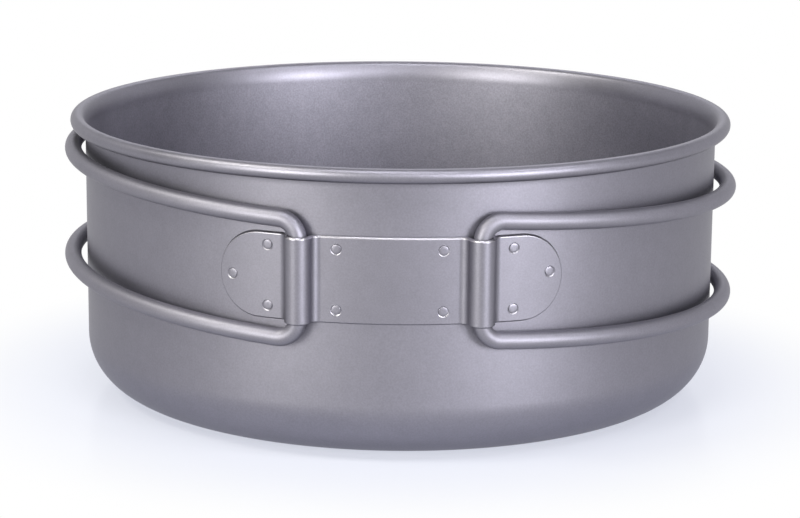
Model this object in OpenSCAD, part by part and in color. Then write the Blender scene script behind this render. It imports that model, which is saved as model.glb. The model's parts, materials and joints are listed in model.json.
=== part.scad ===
// Camping pot of thin titanium sheet with a rolled rim and two folding wire handles.
// The handles turn on upright pins held by one strip that is spot-welded to the front of the wall.
// Millimetres. The pot stands on z = 0 with its axis on z, and the strip faces -y.

/* [Pot body] */
// Outside diameter of the straight wall
body_diameter = 150; // [120:1:200]
// Height from the base to the crest of the rim
body_height = 66; // [55:0.5:110]
// Thickness of the drawn sheet
sheet = 0.5; // [0.4:0.05:1]
// Outside radius of the bend from the wall into the base
corner_radius = 13; // [6:0.5:25]

/* [Rim] */
// How far the rolled edge stands out beyond the wall
rim_overhang = 3.5; // [2.5:0.1:6]
// Inside radius of the gentle flare below the rolled edge
flare_radius = 9; // [4:0.5:15]
// Angle through which the flare leans outward before the tight roll begins
flare_angle = 25; // [10:1:40]
// How far below level the free edge of the roll turns in, measured round the roll
curl_end = 130; // [95:1:150]

/* [Hinge strip] */
// Height of the strip
strip_height = 19.3; // [14:0.1:26]
// Height from the crest of the rim down to the top edge of the strip
strip_drop = 15.15; // [14:0.05:25]
// Thickness of the strip
strip_sheet = 0.6; // [0.4:0.05:1]
// Distance between the two hinge pins, measured round the wall
hinge_spread = 38.8; // [30:0.1:50]
// Length of each half-moon tab from its hinge pin to its tip, measured round the wall
tab_length = 19.2; // [17:0.1:26]
// Radius of the bend where the strip leaves the wall to form a barrel
foot_radius = 1.9; // [0.5:0.1:2.2]

/* [Spot welds] */
// Diameter of each weld
weld_diameter = 2.6; // [1.5:0.1:4]
// How far each weld is pressed in below the face of the strip
weld_dimple = 0.15; // [0.05:0.01:0.3]
// Distance from the upper and lower edges of the strip to the paired welds
weld_edge = 2.95; // [2.5:0.05:6]
// Distance from each hinge pin to the pair of welds in the centre plate, measured round the wall
plate_weld_inset = 7.9; // [7:0.1:10]
// Distance from each hinge pin to the pair of welds in its tab, measured round the wall
tab_weld_inset = 7.5; // [7:0.1:10]
// Distance from each tab's tip to the single weld there, measured round the wall
tip_weld_inset = 3.2; // [2.5:0.1:5]
// How far the left tab's tip weld sits above the middle of the strip
left_tip_rise = -0.5; // [-2:0.1:2]
// How far the right tab's tip weld sits above the middle of the strip
right_tip_rise = 0.9; // [-2:0.1:2]
// Gap between the wall and what is welded to it
weld_gap = 0.05; // [0:0.01:0.2]

/* [Handles] */
// Diameter of the handle wire
wire = 3.9; // [2.5:0.1:5]
// Gap between the wire and the barrel round it
pin_clearance = 0.35; // [0.25:0.05:0.6]
// Gap between the wire and the wall at the hinge
hinge_gap = 0.3; // [0.2:0.05:1]
// Gap between the folded handle and the wall a quarter turn from the hinge
side_gap = 0.8; // [0.5:0.05:5]
// Gap between the bend of the wire and the edge of the barrel, where the wire turns out of it
mouth_clearance = 0.15; // [0.1:0.05:0.25]
// Bend radius of the wire next to the hinge, to the wire centre
bend_radius = 4.5; // [4:0.1:6]
// How much closer the two legs of a handle are at the far end than at the hinge
leg_taper = 0.8; // [0:0.1:6]
// How far the right handle's far end hangs below level, and how far the left one's stands above it
handle_lean = 4.3; // [0:0.1:5]
// Gap between the two wire ends inside the barrel
wire_end_gap = 1; // [0.5:0.1:4]

/* [Hidden] */
$fn = 96;
wall_r = body_diameter / 2;
inner_r = wall_r - sheet;
curl_r = (rim_overhang + sheet - flare_radius * (1 - cos(flare_angle))) / (1 + cos(flare_angle));
flare_z = body_height - curl_r - (flare_radius - curl_r) * sin(flare_angle);
curl_x = inner_r + flare_radius - (flare_radius - curl_r) * cos(flare_angle);
curl_z = body_height - curl_r;

// Angle at the pot's axis that a length round the wall covers
function wall_turn(length) = length / wall_r * 180 / PI;
strip_middle = body_height - strip_drop - strip_height / 2;
hinge_angle = wall_turn(hinge_spread / 2);
strip_half_angle = wall_turn(hinge_spread / 2 + tab_length);
hinge_r = wall_r + hinge_gap + wire / 2;
strip_in_r = wall_r + weld_gap;
strip_mid_r = strip_in_r + strip_sheet / 2;
foot_mid = foot_radius + strip_sheet / 2;
barrel_mid = wire / 2 + pin_clearance + strip_sheet / 2;
foot_r = strip_mid_r + foot_mid;
foot_reach = barrel_mid + foot_mid;
foot_angle = acos((hinge_r * hinge_r + foot_r * foot_r - foot_reach * foot_reach) / (2 * hinge_r * foot_r));
foot_drop = atan2(hinge_r - foot_r * cos(foot_angle), foot_r * sin(foot_angle));
// The round end of a tab is this much larger in radius than half the strip, so that it meets both edges
tab_spare = 0.1;
tab_radius = strip_height / 2 + tab_spare;
tab_round_angle = strip_half_angle - asin(tab_radius / (strip_in_r + strip_sheet));

// The bend begins this far inside the barrel, which uses up the rest of the pin's clearance at its inner side
bend_inner = bend_radius - wire / 2;
bend_start = sqrt(pow(bend_inner, 2) - pow(bend_inner - pin_clearance + mouth_clearance, 2));
pin_half = strip_height / 2 - bend_start;
bend_lead = asin(bend_radius / (2 * hinge_r));
leg_r = (wall_r + side_gap + wire / 2 - bend_radius * cos(bend_lead)) / (1 - sin(bend_lead));
leg_run = leg_r * (1 - sin(bend_lead));

weld_rise = strip_height / 2 - weld_edge;
plate_weld = wall_turn(hinge_spread / 2 - plate_weld_inset);
tab_weld = wall_turn(hinge_spread / 2 + tab_weld_inset);
tip_weld = strip_half_angle - wall_turn(tip_weld_inset);
WELD_NODES = ["left_tip_weld", "left_tab_upper_weld", "left_tab_lower_weld",
              "plate_left_upper_weld", "plate_left_lower_weld",
              "plate_right_upper_weld", "plate_right_lower_weld",
              "right_tab_upper_weld", "right_tab_lower_weld", "right_tip_weld"];
// Angle round the wall and height of each weld, in the order of the names above
WELD_PLACES = [[-tip_weld, left_tip_rise], [-tab_weld, weld_rise], [-tab_weld, -weld_rise],
               [-plate_weld, weld_rise], [-plate_weld, -weld_rise],
               [plate_weld, weld_rise], [plate_weld, -weld_rise],
               [tab_weld, weld_rise], [tab_weld, -weld_rise], [tip_weld, right_tip_rise]];
// Stretches of strip and of wire stop this far short of each other
joint_hair = 0.05;
// The round joint that closes each such gap is this much prouder than the strip or wire
joint_bulge = 0.4 * joint_hair;

// Part of a flat ring, from one angle round to a larger one
module ring_part(r_in, r_out, from, to) {
    steps = ceil((to - from) / 45);
    reach = 2 * r_out;
    fan = [for (i = [0:steps]) let (a = from + (to - from) * i / steps) reach * [cos(a), sin(a)]];
    intersection() {
        difference() {
            circle(r = r_out);
            circle(r = r_in);
        }
        polygon(concat([[0, 0]], fan));
    }
}

// Half of the section through the shell, base to free edge of the roll
module shell_section() {
    square([wall_r - corner_radius, sheet]);
    translate([wall_r - corner_radius, corner_radius])
        ring_part(corner_radius - sheet, corner_radius, -90, 0);
    translate([inner_r, corner_radius])
        square([sheet, flare_z - corner_radius]);
    translate([inner_r + flare_radius, flare_z])
        ring_part(flare_radius - sheet, flare_radius, 180 - flare_angle, 180);
    translate([curl_x, curl_z])
        ring_part(curl_r - sheet, curl_r, -curl_end, 180 - flare_angle);
}

module pot_body() {
    color("#8f8d96")
        rotate_extrude()
            shell_section();
}

// A round bar that lies along a radius of the pot and crosses the wall, at an angle round from the front
module radial_bar(angle, height, d) {
    rotate([0, 0, angle])
        translate([0, -wall_r / 2, height])
            rotate([90, 0, 0])
                cylinder(d = d, h = wall_r);
}

// A stretch of the strip seen from above, bent to this radius at mid thickness, a hair short at both ends
module bent_strip(mid_r, from, to) {
    hair = joint_hair / mid_r * 180 / PI;
    ring_part(mid_r - strip_sheet / 2, mid_r + strip_sheet / 2, from + hair, to - hair);
}

// Closes the joint between two stretches of the strip
module strip_joint() {
    circle(d = strip_sheet + 2 * joint_bulge);
}

// The strip seen from above, with its ends longer by the height of the strip
module strip_plan() {
    front = -90;
    foot_in = hinge_angle - foot_angle;
    foot_out = hinge_angle + foot_angle;
    end = strip_half_angle + wall_turn(strip_height);
    bent_strip(strip_mid_r, front - foot_in, front + foot_in);
    bent_strip(strip_mid_r, front + foot_out, front + end);
    bent_strip(strip_mid_r, front - end, front - foot_out);
    for (side = [-1, 1])
        rotate([0, 0, side * hinge_angle]) {
            translate([0, -hinge_r])
                bent_strip(barrel_mid, -180 - foot_drop, foot_drop);
            for (turn = [-1, 1]) {
                rotate([0, 0, turn * foot_angle])
                    translate([0, -foot_r])
                        bent_strip(foot_mid, turn > 0 ? 90 : foot_angle - foot_drop,
                                   turn > 0 ? 180 + foot_drop - foot_angle : 90);
                rotate([0, 0, turn * foot_angle])
                    translate([0, -strip_mid_r])
                        strip_joint();
                translate([turn * barrel_mid * cos(foot_drop), barrel_mid * sin(foot_drop) - hinge_r])
                    strip_joint();
            }
        }
}

// What is cut away outside the half-moon end of a tab
module tab_trim(side) {
    difference() {
        rotate([0, 0, side * tab_round_angle])
            translate([side < 0 ? -wall_r : 0, -1.5 * wall_r, strip_middle - strip_height])
                cube([wall_r, wall_r, 2 * strip_height]);
        radial_bar(side * tab_round_angle, strip_middle, 2 * tab_radius);
    }
}

module hinge_bracket() {
    color("#96949c")
        difference() {
            translate([0, 0, strip_middle - strip_height / 2])
                linear_extrude(height = strip_height)
                    strip_plan();
            for (side = [-1, 1])
                tab_trim(side);
            for (place = WELD_PLACES)
                radial_bar(place[0], strip_middle + place[1], weld_diameter);
        }
}

// A plug that fills its hole in the strip, from the side of the wall out to the floor of the dimple
module weld(place) {
    color("#7f7d86")
        intersection() {
            rotate_extrude()
                translate([strip_in_r, 0])
                    square([strip_sheet - weld_dimple, body_height]);
            radial_bar(place[0], strip_middle + place[1], weld_diameter);
        }
}

// Bend between the pin and a leg that leaves at this tilt, at the pin's top (up = 1) or its foot (up = -1)
function bend_turn(up, tilt) = acos(cos(bend_lead) * sin(up * tilt));
function bend_heading(tilt) = atan2(sin(bend_lead), cos(bend_lead) * cos(tilt));
function bend_stop(up, tilt) =
    let (turn = bend_turn(up, tilt), out = bend_radius * (1 - cos(turn)), h = bend_heading(tilt))
    [out * cos(h), out * sin(h), up * (pin_half + bend_radius * sin(turn))];
// Where the quarter turn of a leg ends
function leg_stop(up, tilt) =
    bend_stop(up, tilt) + [leg_run * cos(tilt), leg_r * cos(bend_lead), leg_run * sin(tilt)];

// Wire bent through an angle about z, from one angle round to a larger one, a hair short at both ends
module bent_wire(r, from, to) {
    hair = joint_hair / r * 180 / PI;
    rotate([0, 0, from + hair])
        rotate_extrude(angle = to - from - 2 * hair)
            translate([r, 0])
                circle(d = wire);
}

// Closes the joint between two stretches of wire
module wire_joint() {
    sphere(d = wire + 2 * joint_bulge);
}

// Half of the pin, the bend and the quarter turn
module leg(up, tilt) {
    turn = bend_turn(up, tilt);
    half = pin_half - wire_end_gap / 2 - joint_hair;
    translate([0, 0, up > 0 ? wire_end_gap / 2 : -wire_end_gap / 2 - half])
        cylinder(d = wire, h = half);
    translate([0, 0, up * pin_half])
        wire_joint();
    rotate([0, 0, bend_heading(tilt)])
        translate([bend_radius, 0, up * pin_half])
            rotate([90, 0, 0])
                bent_wire(bend_radius, up > 0 ? 180 - turn : 180, up > 0 ? 180 : 180 + turn);
    translate(bend_stop(up, tilt)) {
        wire_joint();
        rotate([0, -tilt, 0])
            translate([-leg_r * sin(bend_lead), leg_r * cos(bend_lead), 0])
                bent_wire(leg_r, bend_lead - 90, 0);
    }
    translate(leg_stop(up, tilt))
        wire_joint();
}

// A handle with its pin on z, its legs leaving along +x and the pot's axis on the +y side
module handle_wire() {
    upper_tilt = -asin((handle_lean + leg_taper / 2) / leg_run);
    lower_tilt = -asin((handle_lean - leg_taper / 2) / leg_run);
    top = leg_stop(1, upper_tilt);
    low = leg_stop(-1, lower_tilt);
    span = [top[0] - low[0], top[2] - low[2]];
    leg(1, upper_tilt);
    leg(-1, lower_tilt);
    translate((top + low) / 2)
        rotate([0, -atan2(span[1], span[0]), 0])
            bent_wire(norm(span) / 2, 0, 180);
}

// The same handle as on the right, turned over
module left_handle() {
    color("#a09ea6")
        rotate([0, 0, -hinge_angle])
            translate([0, -hinge_r, strip_middle])
                rotate([0, 180, 0])
                    handle_wire();
}

module right_handle() {
    color("#a09ea6")
        rotate([0, 0, hinge_angle])
            translate([0, -hinge_r, strip_middle])
                handle_wire();
}

pot_body();
hinge_bracket();
left_handle();
right_handle();
for (i = [0:len(WELD_NODES) - 1])
    weld(WELD_PLACES[i]);
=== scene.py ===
"""Looks of a titanium camping pot with two folding wire handles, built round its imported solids."""

import json
import math
from collections import namedtuple

import bmesh
import bpy
from mathutils import Matrix, Vector
from mathutils.geometry import tessellate_polygon


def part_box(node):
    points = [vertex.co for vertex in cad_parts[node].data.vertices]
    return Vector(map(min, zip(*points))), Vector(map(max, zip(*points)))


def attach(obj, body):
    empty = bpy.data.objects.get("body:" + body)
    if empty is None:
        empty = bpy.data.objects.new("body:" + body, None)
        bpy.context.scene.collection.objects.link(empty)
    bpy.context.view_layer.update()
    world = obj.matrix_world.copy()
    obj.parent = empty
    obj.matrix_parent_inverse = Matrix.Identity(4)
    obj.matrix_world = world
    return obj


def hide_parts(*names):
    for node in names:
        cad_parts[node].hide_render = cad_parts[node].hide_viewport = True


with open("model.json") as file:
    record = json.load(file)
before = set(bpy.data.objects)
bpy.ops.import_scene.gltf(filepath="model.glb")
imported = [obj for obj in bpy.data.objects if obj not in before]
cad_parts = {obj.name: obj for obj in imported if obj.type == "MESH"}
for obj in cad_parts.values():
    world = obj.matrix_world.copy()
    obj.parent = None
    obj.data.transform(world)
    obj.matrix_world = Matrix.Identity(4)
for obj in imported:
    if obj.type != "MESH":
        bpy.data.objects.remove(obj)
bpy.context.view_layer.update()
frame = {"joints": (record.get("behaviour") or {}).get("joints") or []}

# Sizes in metres, the same as in the solids. What the frame tells is read from it.
MM = 0.001
BODY_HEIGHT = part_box("pot_body")[1].z
WALL_R = 75 * MM
SHEET = 0.5 * MM
CORNER_R = 13 * MM
RIM_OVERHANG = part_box("pot_body")[1].x - WALL_R
FLARE_R = 9 * MM
FLARE_ANGLE = math.radians(25)
CURL_END = math.radians(130)

STRIP_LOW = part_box("hinge_bracket")[0].z
STRIP_HALF = (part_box("hinge_bracket")[1].z - STRIP_LOW) / 2
STRIP_MIDDLE = STRIP_LOW + STRIP_HALF
STRIP_SHEET = 0.6 * MM
STRIP_FACE = STRIP_SHEET / 2
WELD_GAP = 0.05 * MM
STRIP_MID_R = WALL_R + WELD_GAP + STRIP_FACE
FOOT_R = 1.9 * MM
FOOT_MID_R = FOOT_R + STRIP_FACE
TAB_LENGTH = 19.2 * MM

WIRE_R = 1.95 * MM
PIN_CLEARANCE = 0.35 * MM
BARREL_MID_R = WIRE_R + PIN_CLEARANCE + STRIP_FACE
SIDE_GAP = 0.8 * MM
MOUTH_CLEARANCE = 0.15 * MM
BEND_R = 4.5 * MM
LEG_TAPER = 0.8 * MM
HANDLE_LEAN = 4.3 * MM
WIRE_END_GAP = 1 * MM

WELD_R = 1.3 * MM
WELD_DIMPLE = 0.15 * MM
WELD_EDGE = 2.95 * MM
PLATE_WELD_INSET = 7.9 * MM
TAB_WELD_INSET = 7.5 * MM
TIP_WELD_INSET = 3.2 * MM
TIP_WELD_RISE = {"left": -0.5 * MM, "right": 0.9 * MM}

right_pin = next(j for j in frame["joints"] if j["name"] == "right_handle_hinge")["pos_m"]
HINGE_R = math.hypot(right_pin[0], right_pin[1])
HINGE_ANGLE = math.atan2(right_pin[0], -right_pin[1])


# Mesh helpers

def full_turn(steps):
    """Angles evenly round a circle."""
    return [2 * math.pi * i / steps for i in range(steps)]


def arc(centre, radius, start, stop, steps):
    """Points on a circle in a plane, both ends included; angles in radians."""
    turns = [start + (stop - start) * i / steps for i in range(steps + 1)]
    return [(centre[0] + radius * math.cos(a), centre[1] + radius * math.sin(a)) for a in turns]


def piece_from(name, bm, normals=None):
    """A smooth-shaded object from a bmesh, with the given vertex normals if there are any."""
    mesh = bpy.data.meshes.new(name)
    bm.to_mesh(mesh)
    bm.free()
    mesh.polygons.foreach_set("use_smooth", [True] * len(mesh.polygons))
    if normals:
        mesh.normals_split_custom_set_from_vertices(normals)
    piece = bpy.data.objects.new(name, mesh)
    bpy.context.scene.collection.objects.link(piece)
    return piece


def skin(name, rings):
    """A closed skin over a row of rings of points, where a ring of one point is a pole."""
    bm = bmesh.new()
    loops = [[bm.verts.new(point) for point in ring] for ring in rings]
    for low, high in zip(loops, loops[1:]):
        count = max(len(low), len(high))
        for i in range(count):
            j = (i + 1) % count
            corners = (low[i % len(low)], low[j % len(low)], high[j % len(high)], high[i % len(high)])
            bm.faces.new(list(dict.fromkeys(corners)))
    bmesh.ops.recalc_face_normals(bm, faces=bm.faces)
    return piece_from(name, bm)


def lathe(name, profile, segments):
    """A profile of (radius, height) points turned about the z axis."""
    turns = full_turn(segments)
    return skin(name, [
        [(r * math.cos(a), r * math.sin(a), z) for a in turns] if r > 0 else [(0, 0, z)]
        for r, z in profile])


def tube(name, path, radius, end_round, sides):
    """A round wire along a path, with slightly rounded ends."""
    tangents = [(b - a).normalized() for a, b in zip([path[0]] + path[:-1], path[1:] + [path[-1]])]
    across = tangents[0].orthogonal().normalized()
    turns = full_turn(sides)
    rings = [[path[0]]]
    last = len(path) - 1
    for i, (point, tangent) in enumerate(zip(path, tangents)):
        if i:
            across.rotate(tangents[i - 1].rotation_difference(tangent))
        beside = tangent.cross(across)
        r = radius - end_round if i in (0, last) else radius
        rings.append([point + r * (math.cos(a) * across + math.sin(a) * beside) for a in turns])
    return skin(name, rings + [[path[-1]]])


# Pot body: one sheet, turned about the axis

BODY_SEGMENTS = 256
# Shares of the base's radius where it has a ring
BASE_RINGS = (0, 0.2, 0.5, 0.8)
CORNER_STEPS = 20
WALL_STEPS = 6
FLARE_STEPS = 8
CURL_STEPS = 30


def shell_face(depth):
    """One face of the sheet from the axis to the free edge: the outer at depth 0, the inner at SHEET."""
    curl_r = (RIM_OVERHANG + SHEET - FLARE_R * (1 - math.cos(FLARE_ANGLE))) / (1 + math.cos(FLARE_ANGLE))
    rise = (FLARE_R - curl_r) * math.sin(FLARE_ANGLE)
    reach = (FLARE_R - curl_r) * math.cos(FLARE_ANGLE)
    flare_centre = (WALL_R - SHEET + FLARE_R, BODY_HEIGHT - curl_r - rise)
    curl_centre = (flare_centre[0] - reach, BODY_HEIGHT - curl_r)
    corner_centre = (WALL_R - CORNER_R, CORNER_R)
    wall_height = flare_centre[1] - CORNER_R
    base = [(corner_centre[0] * share, depth) for share in BASE_RINGS]
    corner = arc(corner_centre, CORNER_R - depth, -math.pi / 2, 0, CORNER_STEPS)
    wall = [(WALL_R - depth, CORNER_R + wall_height * i / WALL_STEPS) for i in range(1, WALL_STEPS)]
    flare = arc(flare_centre, FLARE_R - SHEET + depth, math.pi, math.pi - FLARE_ANGLE, FLARE_STEPS)
    curl = arc(curl_centre, curl_r - SHEET + depth, math.pi - FLARE_ANGLE, -CURL_END, CURL_STEPS)
    return base + corner + wall + flare + curl[1:]


body_shell = lathe("body_shell", shell_face(0) + shell_face(SHEET)[::-1], BODY_SEGMENTS)


# Hinge strip: made flat, as (along, out, up), then bent round the wall and over the two pins

foot_r = STRIP_MID_R + FOOT_MID_R
foot_reach = BARREL_MID_R + FOOT_MID_R
FOOT_ANGLE = math.acos((HINGE_R ** 2 + foot_r ** 2 - foot_reach ** 2) / (2 * HINGE_R * foot_r))
FOOT_DROP = math.atan2(HINGE_R - foot_r * math.cos(FOOT_ANGLE), foot_r * math.sin(FOOT_ANGLE))
foot_turn = math.pi / 2 + FOOT_DROP - FOOT_ANGLE
# Length, curvature and steps of each stretch from the middle of the strip to the tip of a tab
STRETCHES = [
    (STRIP_MID_R * (HINGE_ANGLE - FOOT_ANGLE), 1 / STRIP_MID_R, 12),
    (FOOT_MID_R * foot_turn, -1 / FOOT_MID_R, 10),
    (BARREL_MID_R * (math.pi + 2 * FOOT_DROP), 1 / BARREL_MID_R, 32),
    (FOOT_MID_R * foot_turn, -1 / FOOT_MID_R, 10),
    (STRIP_MID_R * (TAB_LENGTH / WALL_R - FOOT_ANGLE), 1 / STRIP_MID_R, 12)]
STRIP_REACH = sum(length for length, _, _ in STRETCHES)

# The rounded front edge: shares of its width to draw in by, and of its depth to fall back by
FRONT_EDGE_WIDTH = 0.52 * MM
FRONT_EDGE_DEPTH = 0.44 * MM
FRONT_EDGE = ((1.1, 0), (0.85, 0.05), (0.6, 0.22), (0.35, 0.5), (0.12, 0.85), (0, 1.1))
BACK_EDGE_R = 0.1 * MM
BACK_EDGE_STEPS = 4
# The edge is drawn in by its whole width at the top, and by this share of it at the tips and below
EDGE_SHARE_BELOW = 0.65
EDGE_SHARE_ADDED_ABOVE = 0.35
TAB_END_STEPS = 48
HOLE_STEPS = 40
# Lengths below this count as none
NEARLY_NOTHING = 1e-7


def along_strip(angle):
    """Length along the flat strip of a place on the plate or a tab, from its angle at the pot's axis."""
    if angle < HINGE_ANGLE:
        return STRIP_MID_R * angle
    return STRIP_REACH - STRIP_MID_R * (HINGE_ANGLE + TAB_LENGTH / WALL_R - angle)


def strip_frame(along):
    """Place on the strip's middle line, with the directions along it and out of it."""
    side = math.copysign(1, along)
    left = abs(along)
    x, y, heading = 0.0, -STRIP_MID_R, 0.0
    for length, curvature, _ in STRETCHES:
        step = min(left, length)
        turned = heading + curvature * step
        x += (math.sin(turned) - math.sin(heading)) / curvature
        y -= (math.cos(turned) - math.cos(heading)) / curvature
        heading = turned
        left -= step
    forward = Vector((math.cos(heading), side * math.sin(heading), 0))
    out = Vector((side * math.sin(heading), -math.cos(heading), 0))
    return Vector((side * x, y, STRIP_MIDDLE)), forward, out


def bent(point):
    """Where a point (along, out, up) of the flat strip lies on the pot."""
    place, _, out = strip_frame(point[0])
    return place + point[1] * out + Vector((0, 0, point[2]))


def weld_places():
    """(along, up) of every weld in the flat strip, by the name of its node."""
    rise = STRIP_HALF - WELD_EDGE
    plate = along_strip(HINGE_ANGLE - PLATE_WELD_INSET / WALL_R)
    tab = along_strip(HINGE_ANGLE + TAB_WELD_INSET / WALL_R)
    tip = STRIP_REACH - TIP_WELD_INSET
    places = {}
    for side, sign in (("left", -1), ("right", 1)):
        places[f"{side}_tip_weld"] = (sign * tip, TIP_WELD_RISE[side])
        for level, up in (("upper", rise), ("lower", -rise)):
            places[f"{side}_tab_{level}_weld"] = (sign * tab, up)
            places[f"plate_{side}_{level}_weld"] = (sign * plate, up)
    return places


WELDS = weld_places()


def strip_outline(inset):
    """(along, up) points round the flat strip with its two round ends, drawn in by an inset."""
    centre = STRIP_REACH - STRIP_HALF

    def drawn_in(middle, angle):
        """The point at an angle of one round end."""
        share = EDGE_SHARE_BELOW + EDGE_SHARE_ADDED_ABOVE * max(0, math.sin(angle))
        radius = STRIP_HALF - inset * share
        return (middle + radius * math.cos(angle), radius * math.sin(angle))

    half_turn = [math.pi * i / TAB_END_STEPS - math.pi / 2 for i in range(TAB_END_STEPS + 1)]
    return [drawn_in(centre, a) for a in half_turn] + [drawn_in(-centre, a + math.pi) for a in half_turn]


def strip_edge():
    """(inset, out) of each ring round the strip's edge, from its front face to its back."""
    front = [(FRONT_EDGE_WIDTH * share, STRIP_FACE - FRONT_EDGE_DEPTH * drop) for share, drop in FRONT_EDGE]
    back_centre = (BACK_EDGE_R, BACK_EDGE_R - STRIP_FACE)
    return front + arc(back_centre, BACK_EDGE_R, math.pi, 3 * math.pi / 2, BACK_EDGE_STEPS)


def ring_at(bm, outline, out):
    """New vertices along an outline of (along, up) points."""
    return [bm.verts.new((along, out, up)) for along, up in outline]


def bridge(bm, first, second):
    """Quads between two loops of as many vertices."""
    for i in range(len(first)):
        j = (i + 1) % len(first)
        bm.faces.new((first[i], first[j], second[j], second[i]))


def fill(bm, loops):
    """Triangles inside the first loop and round the others, which are holes in it."""
    corners = [vert for loop in loops for vert in loop]
    flat = [[Vector((v.co.x, v.co.z, 0)) for v in loop] for loop in loops]
    for triangle in tessellate_polygon(flat):
        bm.faces.new([corners[i] for i in triangle])


def flat_strip():
    """The strip before it is bent: its edge, its weld holes and its two faces."""
    bm = bmesh.new()
    rim = [ring_at(bm, strip_outline(inset), out) for inset, out in strip_edge()]
    for first, second in zip(rim, rim[1:]):
        bridge(bm, first, second)
    holes = []
    for place in WELDS.values():
        circle = arc(place, WELD_R, 0, 2 * math.pi * (1 - 1 / HOLE_STEPS), HOLE_STEPS - 1)
        holes.append([ring_at(bm, circle, out) for out in (STRIP_FACE, -STRIP_FACE)])
        bridge(bm, *holes[-1])
    for face in (0, -1):
        fill(bm, [rim[face]] + [hole[face] for hole in holes])
    bmesh.ops.recalc_face_normals(bm, faces=bm.faces)
    return bm


def cut_for_bending(bm):
    """Edges across the flat strip at every step of its stretches."""
    start = 0.0
    for length, _, count in STRETCHES:
        for i in range(count):
            cut = start + length * i / count
            for along in ((cut, -cut) if cut else (0.0,)):
                bmesh.ops.bisect_plane(
                    bm, geom=bm.verts[:] + bm.edges[:] + bm.faces[:], dist=NEARLY_NOTHING,
                    plane_co=(along, 0, 0), plane_no=(1, 0, 0))
        start += length


def bend(bm):
    """Moves the flat strip onto the pot, and gives its vertices' normals there."""
    bm.normal_update()
    normals = []
    for vert in bm.verts:
        _, forward, out = strip_frame(vert.co.x)
        flat = vert.normal
        if abs(abs(vert.co.y) - STRIP_FACE) < NEARLY_NOTHING:
            flat = Vector((0, math.copysign(1, vert.co.y), 0))
        normals.append(flat.x * forward + flat.y * out + Vector((0, 0, flat.z)))
        vert.co = bent(vert.co)
    bmesh.ops.reverse_faces(bm, faces=bm.faces)
    return normals


def make_strip():
    """The strip in one piece: tab, barrel, plate, barrel, tab."""
    bm = flat_strip()
    cut_for_bending(bm)
    normals = bend(bm)
    return piece_from("hinge_strip", bm, normals)


hinge_strip = make_strip()

# Depths of a weld's pressed ring and of the button inside it, and the rounding of their edges
WELD_RING_DEPTH = 1.2 * WELD_DIMPLE
WELD_BUTTON_DEPTH = 0.2 * WELD_DIMPLE
WELD_ROUND = 0.01 * MM


def make_weld(name, along, up):
    """A fine pressed ring round a flat button, which closes one hole of the strip."""
    ring = STRIP_FACE - WELD_RING_DEPTH
    button = STRIP_FACE - WELD_BUTTON_DEPTH
    # Each point is a share of the weld's radius, and its place out of the strip's middle
    back = [(0, -STRIP_FACE), (1, -STRIP_FACE)]
    lip = [(1, STRIP_FACE - WELD_ROUND), (0.97, STRIP_FACE - 2 * WELD_ROUND)]
    groove = [(0.82, ring + WELD_ROUND), (0.79, ring), (0.78, ring + 2 * WELD_ROUND)]
    top = [(0.77, button - WELD_ROUND), (0.75, button), (0.3, button), (0, button)]
    turns = full_turn(HOLE_STEPS)

    def ring_round(share, out):
        """Points round the weld, or the one in its middle."""
        r = share * WELD_R
        return [bent((along + r * math.cos(a), out, up + r * math.sin(a))) for a in (turns if r else [0])]

    return skin(name, [ring_round(*point) for point in back + lip + groove + top])


weld_dishes = {node: make_weld(f"{node}_dish", *place) for node, place in WELDS.items()}


# Handles: one bent wire each, drawn with its pin on z and its legs leaving along +x

bend_inner = BEND_R - WIRE_R
PIN_HALF = STRIP_HALF - math.sqrt(bend_inner ** 2 - (bend_inner - PIN_CLEARANCE + MOUTH_CLEARANCE) ** 2)
BEND_LEAD = math.asin(BEND_R / (2 * HINGE_R))
LEG_R = (WALL_R + SIDE_GAP + WIRE_R - BEND_R * math.cos(BEND_LEAD)) / (1 - math.sin(BEND_LEAD))
LEG_RUN = LEG_R * (1 - math.sin(BEND_LEAD))
WIRE_SIDES = 32
WIRE_END_ROUND = 0.3 * MM
# Shares of the pin's length where it has a ring
PIN_RINGS = (0, 0.03, 0.5)
BEND_STEPS = 24
LEG_STEPS = 72
BOW_STEPS = 48


def leg_path(up, drop):
    """From the wire's end in the barrel to the end of the quarter turn; drop is how far the leg sinks."""
    tilt = -math.asin(drop / LEG_RUN)
    turn = math.acos(math.cos(BEND_LEAD) * math.sin(up * tilt))
    heading = math.atan2(math.sin(BEND_LEAD), math.cos(BEND_LEAD) * math.cos(tilt))
    outward = Vector((math.cos(heading), math.sin(heading), 0))
    rise = Vector((0, 0, up))
    pin = [rise * (WIRE_END_GAP / 2 + (PIN_HALF - WIRE_END_GAP / 2) * share) for share in PIN_RINGS]
    elbow = [rise * PIN_HALF + outward * (BEND_R + x) + rise * y
             for x, y in arc((0, 0), BEND_R, math.pi, math.pi - turn, BEND_STEPS)]
    slope = Matrix.Rotation(-tilt, 3, "Y")
    centre = Vector((-LEG_R * math.sin(BEND_LEAD), LEG_R * math.cos(BEND_LEAD), 0))
    leg = [elbow[-1] + slope @ (centre + Vector((x, y, 0)))
           for x, y in arc((0, 0), LEG_R, BEND_LEAD - math.pi / 2, 0, LEG_STEPS)]
    return pin + elbow + leg[1:]


def handle_path():
    """From one end of the wire to the other: upper leg, bow, lower leg."""
    upper = leg_path(1, HANDLE_LEAN + LEG_TAPER / 2)
    lower = leg_path(-1, HANDLE_LEAN - LEG_TAPER / 2)
    middle = (upper[-1] + lower[-1]) / 2
    top = upper[-1] - middle
    ahead = Vector((0, top.length, 0))
    bow = [middle + math.cos(a) * top + math.sin(a) * ahead
           for a in (math.pi * i / BOW_STEPS for i in range(1, BOW_STEPS))]
    return upper + bow + lower[::-1]


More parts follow.
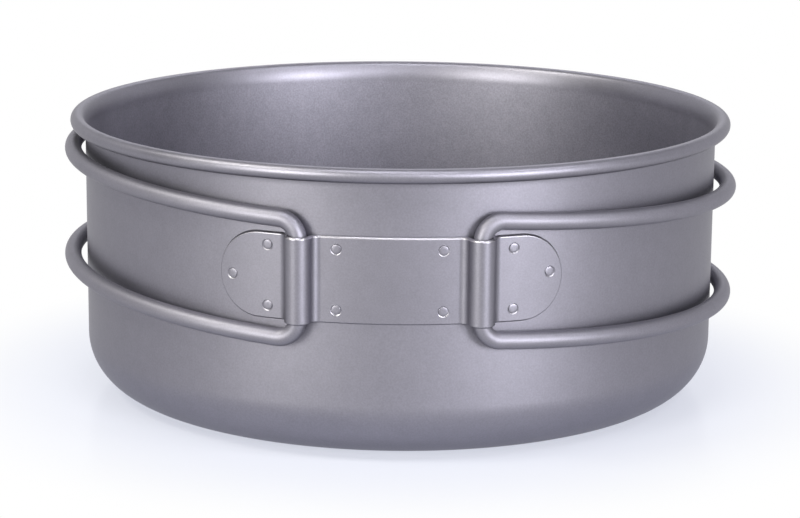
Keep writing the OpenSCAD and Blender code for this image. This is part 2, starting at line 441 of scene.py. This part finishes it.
def make_handle(name, side):
    """side is 1 for the right handle; the left one is the same wire turned over."""
    place = Matrix.Rotation(side * HINGE_ANGLE, 4, "Z") @ Matrix.Translation((0, -HINGE_R, STRIP_MIDDLE))
    if side < 0:
        place = place @ Matrix.Rotation(math.pi, 4, "Y")
    return tube(name, [place @ point for point in handle_path()], WIRE_R, WIRE_END_ROUND, WIRE_SIDES)


left_wire = make_handle("left_wire", -1)
right_wire = make_handle("right_wire", 1)


# Shader nodes: after feed, each function adds a node to a tree and gives that node's result

def feed(tree, socket, value):
    """Gives an input another node's result, or a constant."""
    if isinstance(value, bpy.types.NodeSocket):
        tree.links.new(value, socket)
    else:
        socket.default_value = value


def arithmetic(tree, operation, first, second):
    """A sum, product or the like of two numbers."""
    node = tree.nodes.new("ShaderNodeMath")
    node.operation = operation
    feed(tree, node.inputs[0], first)
    feed(tree, node.inputs[1], second)
    return node.outputs["Value"]


def vector_math(tree, operation, result, *vectors):
    """A calculation with vectors; its result is a Vector or a Value."""
    node = tree.nodes.new("ShaderNodeVectorMath")
    node.operation = operation
    for socket, vector in zip(node.inputs, vectors):
        feed(tree, socket, vector)
    return node.outputs[result]


def part_of(tree, vector, axis):
    """One coordinate of a vector."""
    node = tree.nodes.new("ShaderNodeSeparateXYZ")
    feed(tree, node.inputs["Vector"], vector)
    return node.outputs[axis]


def ramp(tree, value, start, end, low=0.0, high=1.0, course="LINEAR"):
    """A value that goes from low to high while another goes from start to end."""
    node = tree.nodes.new("ShaderNodeMapRange")
    node.interpolation_type = course
    node.inputs["From Min"].default_value = start
    node.inputs["From Max"].default_value = end
    node.inputs["To Min"].default_value = low
    node.inputs["To Max"].default_value = high
    feed(tree, node.inputs["Value"], value)
    return node.outputs["Result"]


def mix(tree, kind, share, first, second):
    """A blend of two colours, where kind is RGBA, or of two numbers, where it is FLOAT."""
    node = tree.nodes.new("ShaderNodeMix")
    node.data_type = kind
    feed(tree, node.inputs["Factor"], share)
    feed(tree, node.inputs["A"], first)
    feed(tree, node.inputs["B"], second)
    return node.outputs["Result"]


# Materials: blasted titanium, with a finer grain on the strip, the welds and the wires

# A surface's colour, its roughness, and how far its tone strays from the colour to either side
Surface = namedtuple("Surface", "colour roughness play")
OUTSIDE = Surface((0.2247, 0.2188, 0.2585), 0.46, 0.1)
# The inside is the same metal given a lighter colour: painted light that lifts the shaded inside of the pot.
INSIDE_PAINTED_LIGHTER = Surface((0.255, 0.2484, 0.2937), 0.54, 0.2)
RIM = Surface((0.2274, 0.2214, 0.2615), 0.46, 0.1)
STRIP = Surface((0.2162, 0.2106, 0.2486), 0.46, 0.1)
WIRE = Surface((0.231, 0.225, 0.2645), 0.53, 0.1)
# Smoother and paler on faces that look up: the smoothness is the bare cut edge, the paler tone a painted
# highlight on the strip's top edges and the welds' rings.
BARE_AND_PAINTED_HIGHLIGHT = Surface((0.41, 0.4, 0.44), 0.36, 0.1)
# Titanium mirrors less at flat angles than Blender's standard metal
EDGE_TINT = (0.78, 0.78, 0.78, 1)
ROUGHNESS_PLAY = 0.03

# Size and depth of the grain
BODY_GRAIN = (0.4 * MM, 0.01 * MM)
FINE_GRAIN = (0.35 * MM, 0.006 * MM)
MOTTLE_SIZE = 3 * MM
CLOUD_SIZE = 30 * MM
# What grain, mottle and clouds each add to the lightness, which is 0 in the darkest tone and 1 in the palest
GRAIN_SHARE = 0.6
MOTTLE_SHARE = 0.2
CLOUD_SHARE = 0.2
NOISE_DETAIL = 2
# Where most of a noise's values lie
NOISE_RANGE = (0.3, 0.7)

# Limits of the masks: how far a face's plane lies from the pot's middle, depth below the top of the rim,
# and the upward part of the normal
INWARD_LIMIT = 20 * MM
RIM_DEPTH = (5.5 * MM, 3.5 * MM)
UPWARD_RANGE = (0.12, 0.35)


def noise(tree, place, size):
    """Soft random patches of about a size."""
    node = tree.nodes.new("ShaderNodeTexNoise")
    node.inputs["Scale"].default_value = 1 / size
    node.inputs["Detail"].default_value = NOISE_DETAIL
    feed(tree, node.inputs["Vector"], place)
    return node.outputs["Fac"]


def inward(tree, coordinates):
    """1 on faces that look towards the pot's middle, 0 on those that look away from it."""
    middle = (0, 0, BODY_HEIGHT / 2)
    offset = vector_math(tree, "SUBTRACT", "Vector", coordinates.outputs["Object"], middle)
    facing = vector_math(tree, "DOT_PRODUCT", "Value", offset, coordinates.outputs["Normal"])
    return ramp(tree, facing, INWARD_LIMIT, -INWARD_LIMIT)


def near_top(tree, coordinates):
    """1 on the flare and the roll, 0 on the wall below them."""
    height = part_of(tree, coordinates.outputs["Object"], "Z")
    return ramp(tree, height, BODY_HEIGHT - RIM_DEPTH[0], BODY_HEIGHT - RIM_DEPTH[1])


def upward(tree, coordinates):
    """1 on faces that look up, 0 on upright ones; it places the painted highlight."""
    return ramp(tree, part_of(tree, coordinates.outputs["Normal"], "Z"), *UPWARD_RANGE)


def toned(tree, lightness, surface):
    """A surface's colour with the play in its tone."""
    dark, light = [(*[(1 + sign * surface.play) * c for c in surface.colour], 1) for sign in (-1, 1)]
    return mix(tree, "RGBA", lightness, dark, light)


def polished(tree, clouds, surface):
    """A surface's roughness, which follows the clouds a little."""
    low, high = surface.roughness - ROUGHNESS_PLAY, surface.roughness + ROUGHNESS_PLAY
    return ramp(tree, clouds, *NOISE_RANGE, low, high)


def titanium(name, surface, grain, others=()):
    """Metal with a fine blasted grain, faint clouds in its tone and a little play in its roughness.

    others lists surfaces that some of the faces have instead, each with the mask of those faces.
    """
    material = bpy.data.materials.new(name)
    material.use_nodes = True
    tree = material.node_tree
    shader = tree.nodes["Principled BSDF"]
    shader.inputs["Metallic"].default_value = 1.0
    shader.inputs["Specular Tint"].default_value = EDGE_TINT
    coordinates = tree.nodes.new("ShaderNodeTexCoord")
    grain_size, grain_depth = grain
    grains, mottle, clouds = [
        noise(tree, coordinates.outputs["Object"], size) for size in (grain_size, MOTTLE_SIZE, CLOUD_SIZE)]
    faint = arithmetic(tree, "ADD", ramp(tree, mottle, *NOISE_RANGE, 0, MOTTLE_SHARE),
                       ramp(tree, clouds, *NOISE_RANGE, 0, CLOUD_SHARE))
    lightness = arithmetic(tree, "ADD", ramp(tree, grains, *NOISE_RANGE, 0, GRAIN_SHARE), faint)
    tone = toned(tree, lightness, surface)
    polish = polished(tree, clouds, surface)
    for other, mask in others:
        share = mask(tree, coordinates)
        tone = mix(tree, "RGBA", share, tone, toned(tree, lightness, other))
        polish = mix(tree, "FLOAT", share, polish, polished(tree, clouds, other))
    bump = tree.nodes.new("ShaderNodeBump")
    bump.inputs["Strength"].default_value = 1.0
    bump.inputs["Distance"].default_value = grain_depth
    feed(tree, bump.inputs["Height"], grains)
    feed(tree, shader.inputs["Base Color"], tone)
    feed(tree, shader.inputs["Roughness"], polish)
    feed(tree, shader.inputs["Normal"], bump.outputs["Normal"])
    return material


FINISHES = {
    # The inside's lighter colour is painted light.
    "titanium_body": titanium("blasted_titanium", OUTSIDE, BODY_GRAIN, [(INSIDE_PAINTED_LIGHTER, inward), (RIM, near_top)]),
    # The paler tone on the upward faces of the strip and the welds is a painted highlight.
    "titanium_strip": titanium("pressed_titanium", STRIP, FINE_GRAIN, [(BARE_AND_PAINTED_HIGHLIGHT, upward)]),
    "titanium_wire": titanium("satin_wire", WIRE, FINE_GRAIN),
    "titanium_weld": titanium("weld_face", STRIP, FINE_GRAIN, [(BARE_AND_PAINTED_HIGHLIGHT, upward)])}


def dress(piece, body, slot, node):
    """Gives a piece its finish, the body it rides on and the node it stands for."""
    piece.data.materials.append(FINISHES[slot])
    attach(piece, body)
    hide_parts(node)


dress(body_shell, "pot", "titanium_body", "pot_body")
dress(hinge_strip, "pot", "titanium_strip", "hinge_bracket")
dress(left_wire, "left_loop", "titanium_wire", "left_handle")
dress(right_wire, "right_loop", "titanium_wire", "right_handle")
for node, dish in weld_dishes.items():
    dress(dish, "pot", "titanium_weld", node)


# Floor, light and camera

WHITE = (1, 1, 1, 1)
FLOOR_HALF_SIDE = 6
FLOOR_COLOUR = (0.66, 0.675, 0.735, 1)
FLOOR_ROUGHNESS = 0.2
# The floor turns from shadow to plain white between these distances from the pot's axis
SHADOW_REACH = (0.062, 0.122)
# How much of the floor glows where the shadow is full, and the colour of that glow, dimmer and bluer than
# white: a painted shadow
NEAR_SHARE = 0.65
NEAR_PAINTED_SHADE = (0.82, 0.845, 0.95, 1)
ROOM_LIGHT = 0.1
# Parts of a direction, backward and upward, between which the backdrop begins and is full
BACKDROP_TURN = (-0.1, 0.25)
BACKDROP_TOP = (0.75, 0.45)

LAMP_DISTANCE = 1.5
WARM_WHITE = (1.0, 0.995, 0.92)
HIGH_WHITE = (1.0, 0.985, 0.87)
COOL_WHITE = (0.985, 0.985, 1.0)
# Name, azimuth and elevation in degrees, width and height, watts, and colour of each lamp
SOFTBOXES = (
    ("left_softbox", -38, 14, (0.58, 0.7), 18.7, WARM_WHITE),
    ("right_softbox", 40, 11, (0.5, 0.55), 20.5, COOL_WHITE),
    ("front_softbox", 12, 27, (0.4, 0.4), 4.8, COOL_WHITE),
    ("top_softbox", -4, 70, (0.5, 0.5), 8, COOL_WHITE),
    ("high_left_softbox", -70, 50, (0.5, 0.35), 12.5, HIGH_WHITE),
    ("high_right_softbox", 60, 52, (0.4, 0.35), 6.5, COOL_WHITE),
    ("back_softbox", 178, 45, (1.0, 0.5), 5, COOL_WHITE))

# The camera, as fitted to the pot's outline in the photograph: angles in degrees, lens and sensor in mm
LENS = 120
SENSOR_WIDTH = 36
CAMERA_AZIMUTH = 1.53
CAMERA_ELEVATION = 12.644
CAMERA_ROLL = 0.497
CAMERA_DISTANCE = 646.2 * MM
CAMERA_PIVOT = 30 * MM
AIM_HEIGHT = 29.14 * MM
AIM_SHIFT = 0.173 * MM


def direction(azimuth, elevation):
    """The way from the pot to a lamp or the camera, in degrees; azimuth 0 is the front and 90 the right."""
    turn, climb = math.radians(azimuth), math.radians(elevation)
    return Vector((math.sin(turn) * math.cos(climb), -math.cos(turn) * math.cos(climb), math.sin(climb)))


def seeing_rays(tree):
    """Two masks: of the rays from the camera, and of those that metal or glass sends on."""
    path = tree.nodes.new("ShaderNodeLightPath")
    mirrored = arithmetic(tree, "MAXIMUM", path.outputs["Is Glossy Ray"], path.outputs["Is Transmission Ray"])
    return path.outputs["Is Camera Ray"], mirrored


def floor_material():
    """Smooth pale board that keeps the pot's shadow and, away from the pot, is plain white to the eye; near
    the pot its glow is dimmer and bluer, a painted shadow.
    """
    material = bpy.data.materials.new("white_floor")
    material.use_nodes = True
    tree = material.node_tree
    shader = tree.nodes["Principled BSDF"]
    shader.inputs["Base Color"].default_value = FLOOR_COLOUR
    shader.inputs["Roughness"].default_value = FLOOR_ROUGHNESS
    place = tree.nodes.new("ShaderNodeTexCoord").outputs["Object"]
    distance = vector_math(tree, "LENGTH", "Value", place)
    far = ramp(tree, distance, *SHADOW_REACH, course="SMOOTHSTEP")
    # The glow is white far from the pot, and dimmer and bluer near it: a painted shadow round the pot's foot.
    plain = tree.nodes.new("ShaderNodeEmission")
    feed(tree, plain.inputs["Color"], mix(tree, "RGBA", far, NEAR_PAINTED_SHADE, WHITE))
    seen = arithmetic(tree, "MAXIMUM", *seeing_rays(tree))
    share = arithmetic(tree, "MULTIPLY", ramp(tree, far, 0, 1, NEAR_SHARE, 1), seen)
    both = tree.nodes.new("ShaderNodeMixShader")
    feed(tree, both.inputs["Fac"], share)
    feed(tree, both.inputs[1], shader.outputs["BSDF"])
    feed(tree, both.inputs[2], plain.outputs["Emission"])
    feed(tree, tree.nodes["Material Output"].inputs["Surface"], both.outputs["Shader"])
    return material


def make_floor():
    """A wide flat floor under the pot."""
    bm = bmesh.new()
    bmesh.ops.create_grid(bm, x_segments=1, y_segments=1, size=FLOOR_HALF_SIDE)
    floor = piece_from("floor", bm)
    floor.data.materials.append(floor_material())


def make_world():
    """A dim even light from the room, and a white backdrop that the eye and the metal see behind the pot."""
    world = bpy.data.worlds.new("studio")
    bpy.context.scene.world = world
    world.use_nodes = True
    tree = world.node_tree
    background = tree.nodes["Background"]
    background.inputs["Color"].default_value = WHITE
    ray = tree.nodes.new("ShaderNodeTexCoord").outputs["Generated"]
    behind = ramp(tree, part_of(tree, ray, "Y"), *BACKDROP_TURN, course="SMOOTHSTEP")
    below_top = ramp(tree, part_of(tree, ray, "Z"), *BACKDROP_TOP, course="SMOOTHSTEP")
    backdrop = arithmetic(tree, "MULTIPLY", behind, below_top)
    from_camera, mirrored = seeing_rays(tree)
    white = arithmetic(tree, "MAXIMUM", from_camera, arithmetic(tree, "MULTIPLY", mirrored, backdrop))
    feed(tree, background.inputs["Strength"], ramp(tree, white, 0, 1, ROOM_LIGHT, 1))


def softbox(name, azimuth, elevation, size, power, colour):
    """An area lamp that faces the pot."""
    lamp = bpy.data.lights.new(name, "AREA")
    lamp.shape = "RECTANGLE"
    lamp.size, lamp.size_y = size
    lamp.energy = power
    lamp.color = colour
    away = direction(azimuth, elevation)
    box = bpy.data.objects.new(name, lamp)
    box.location = Vector((0, 0, BODY_HEIGHT / 2)) + LAMP_DISTANCE * away
    box.rotation_euler = away.to_track_quat("Z", "Y").to_euler()
    bpy.context.scene.collection.objects.link(box)


def make_camera():
    """At the photograph's angle, a little to the right of the front and above the rim."""
    lens = bpy.data.cameras.new("camera")
    lens.lens = LENS
    lens.sensor_width = SENSOR_WIDTH
    camera = bpy.data.objects.new("camera", lens)
    away = direction(CAMERA_AZIMUTH, CAMERA_ELEVATION)
    camera.location = Vector((0, 0, CAMERA_PIVOT)) + CAMERA_DISTANCE * away
    turn = math.radians(CAMERA_AZIMUTH)
    right = Vector((math.cos(turn), math.sin(turn), 0))
    aim = Vector((0, 0, AIM_HEIGHT)) + AIM_SHIFT * right
    look = (aim - camera.location).to_track_quat("-Z", "Y")
    roll = Matrix.Rotation(math.radians(CAMERA_ROLL), 3, "Z")
    camera.rotation_euler = (look.to_matrix() @ roll).to_euler()
    bpy.context.scene.collection.objects.link(camera)
    bpy.context.scene.camera = camera


make_floor()
make_world()
for lamp_values in SOFTBOXES:
    softbox(*lamp_values)
make_camera()
bpy.context.scene.view_settings.view_transform = "Standard"
